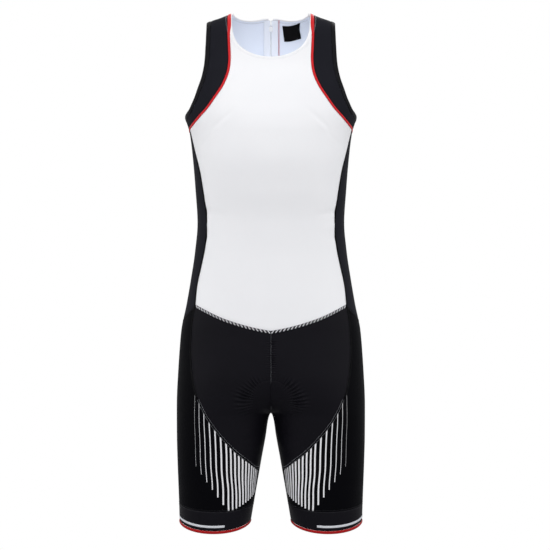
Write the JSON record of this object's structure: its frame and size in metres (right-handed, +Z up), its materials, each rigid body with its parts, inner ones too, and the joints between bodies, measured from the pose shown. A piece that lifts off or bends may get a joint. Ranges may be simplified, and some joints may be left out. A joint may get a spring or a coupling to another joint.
{
  "type": "triathlon suit, worn form with no wearer",
  "caption": "Sleeveless one-piece triathlon suit with short legs, a back zip, edged armholes and a padded seat, filled out as worn.",
  "frame": {"origin": "midway between the shoulder straps, level with the inside top of the straps, where the wearer's shoulders carry the suit", "axes": "+Z up, the front of the suit faces -Y, +X to the wearer's left"},
  "size_m": [0.3384, 0.2429, 0.9297],
  "materials": {
    "white_knit": "smooth matte stretch knit",
    "black_knit": "smooth matte stretch knit",
    "stretch_panel": "finely ribbed matte stretch knit",
    "red_edging": "satin stretch binding",
    "black_binding": "satin stretch binding",
    "white_binding": "satin stretch binding",
    "light_print": "smooth heat-set tape",
    "zip_tape": "woven tape",
    "zip_chain": "moulded nylon coil",
    "zip_slider": "white enamel on zinc",
    "pull_tab": "grey enamel on zinc",
    "label": "woven satin label, bare",
    "pad": "brushed cloth over foam"
  },
  "bodies": {
    "suit": {"front_body": "white_knit", "back_body_left": "white_knit", "back_body_right": "white_knit", "side_panel_left": "stretch_panel", "side_panel_right": "stretch_panel", "front_yoke_left": "stretch_panel", "front_yoke_right": "stretch_panel", "back_yoke_left": "stretch_panel", "back_yoke_right": "stretch_panel", "front_piping_left": "red_edging", "front_piping_right": "red_edging", "back_piping_left": "red_edging", "back_piping_right": "red_edging", "front_armhole_binding_left": "black_binding", "front_armhole_binding_right": "black_binding", "back_armhole_binding_left": "black_binding", "back_armhole_binding_right": "black_binding", "neck_binding_front": "white_binding", "neck_binding_back_left": "white_binding", "neck_binding_back_right": "white_binding", "shorts_front_left": "black_knit", "shorts_front_right": "black_knit", "shorts_back_left": "black_knit", "shorts_back_right": "black_knit", "leg_panel_left": "black_knit", "leg_panel_right": "black_knit", "hem_band_left": "black_knit", "hem_band_right": "black_knit", "hem_edge_left": "red_edging", "hem_edge_right": "red_edging", "hem_line_left": "light_print", "hem_line_right": "light_print", "zip_tape_left": "zip_tape", "zip_tape_right": "zip_tape", "zip_tape_edging": "red_edging", "zip_chain": "zip_chain", "zip_slider": "zip_slider", "neck_label": "label", "seat_pad": "pad"},
    "pull_tab": {"zip_pull_tab": "pull_tab"}
  },
  "joints": [
    {"name": "pull_tab_swing", "type": "hinge", "parent": "suit", "child": "pull_tab", "pos_m": [0, 0.05844, -0.01911], "axis": [1, 0, 0], "range_deg": [0, 160]}
  ]
}
